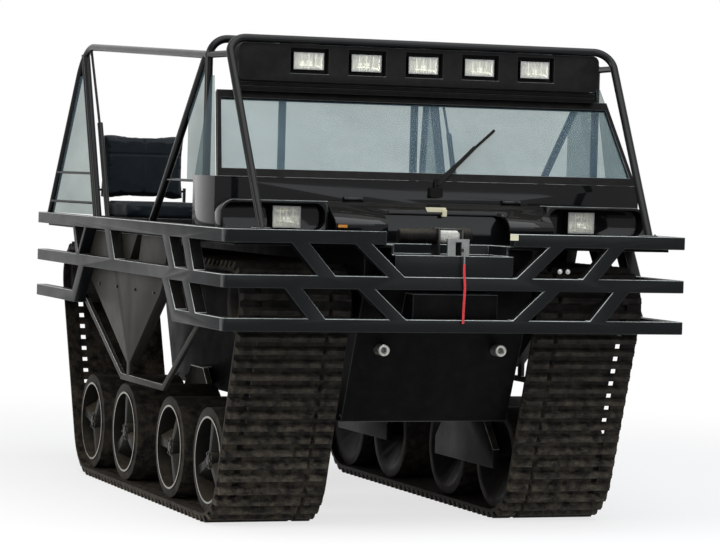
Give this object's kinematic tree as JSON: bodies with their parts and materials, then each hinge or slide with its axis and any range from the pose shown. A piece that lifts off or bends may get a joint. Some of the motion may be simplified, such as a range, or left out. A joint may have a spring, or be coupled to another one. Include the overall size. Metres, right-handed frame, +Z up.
{
  "type": "tracked all-terrain vehicle",
  "caption": "Open-topped cross-country carrier on two wide lugged tracks, with a tube cage, winch, lamp bar and a guard of rails all round its front and sides.",
  "frame": {"origin": "middle of the footprint at ground level, below the centre of the vehicle", "axes": "+Z up, -Y towards the front, +X towards the vehicle's left side"},
  "size_m": [2.28, 3.5025, 2.3233],
  "materials": {
    "track_rubber": "dusty moulded rubber",
    "wheel": "dusty rubber on painted dish",
    "running_gear": "dusty satin",
    "hull_paint": "satin",
    "deck_paint": "satin",
    "guard_paint": "satin",
    "cage_paint": "gloss",
    "body_paint": "gloss",
    "body_plastic": "matte",
    "trim_black": "matte",
    "clear_glass": "clear",
    "lamp_glass": "ribbed clear",
    "amber_glass": "amber",
    "winch_metal": "worn",
    "strap_fabric": "woven webbing",
    "engine_metal": "plain",
    "seat_cover": "grained vinyl"
  },
  "bodies": {
    "frame": {"bogies_left": "running_gear", "bogies_right": "running_gear", "cage_front": "cage_paint", "cage_main": "cage_paint", "cage_side_left": "cage_paint", "cage_side_right": "cage_paint", "cowl": "body_paint", "dashboard": "trim_black", "deck_centre": "deck_paint", "deck_left": "deck_paint", "deck_right": "deck_paint", "end_axles": "running_gear", "end_wheels_left": "wheel", "end_wheels_right": "wheel", "engine": "engine_metal", "front_lamps": "lamp_glass", "guard_front": "guard_paint", "guard_left": "guard_paint", "guard_right": "guard_paint", "head_pads": "seat_cover", "hook_strap": "strap_fabric", "hull": "hull_paint", "lamp_bar": "body_plastic", "nose": "body_paint", "quarter_glass": "clear_glass", "rear_cushion_left": "seat_cover", "rear_cushion_right": "seat_cover", "road_wheels_left": "wheel", "road_wheels_right": "wheel", "roof_lamps": "lamp_glass", "seat_back_left": "seat_cover", "seat_back_right": "seat_cover", "seat_bases": "body_plastic", "seat_cushion_left": "seat_cover", "seat_cushion_right": "seat_cover", "seat_posts": "running_gear", "side_glass": "clear_glass", "steering_column": "trim_black", "tow_eyes": "winch_metal", "track_left": "track_rubber", "track_right": "track_rubber", "vee_left": "guard_paint", "vee_right": "guard_paint", "winch": "winch_metal", "winch_hook": "winch_metal", "winch_tray": "guard_paint", "windscreen_frame": "trim_black", "windscreen_glass": "clear_glass", "wiper": "trim_black"},
    "hood": {"hood": "body_paint", "marker_lamp": "amber_glass"},
    "steering_wheel": {"steering_wheel": "trim_black"},
    "rear_back_right": {"rear_back_right": "seat_cover"},
    "rear_back_left": {"rear_back_left": "seat_cover"}
  },
  "joints": [
    {"name": "hood_hinge", "type": "hinge", "parent": "frame", "child": "hood", "pos_m": [0, -1.356, 1.546], "axis": [-1, 0, 0], "range_deg": [0, 60]},
    {"name": "steering_turn", "type": "hinge", "parent": "frame", "child": "steering_wheel", "pos_m": [0.33, -0.89, 1.5], "axis": [0, 0.5736, 0.8192], "range_deg": [-135, 135]},
    {"name": "rear_back_right_fold", "type": "hinge", "parent": "frame", "child": "rear_back_right", "pos_m": [0, 1.208, 1.5403], "axis": [1, 0, 0], "range_deg": [0, 90]},
    {"name": "rear_back_left_fold", "type": "hinge", "parent": "frame", "child": "rear_back_left", "pos_m": [0, 1.208, 1.5403], "axis": [-1, 0, 0], "range_deg": [0, 90]}
  ]
}
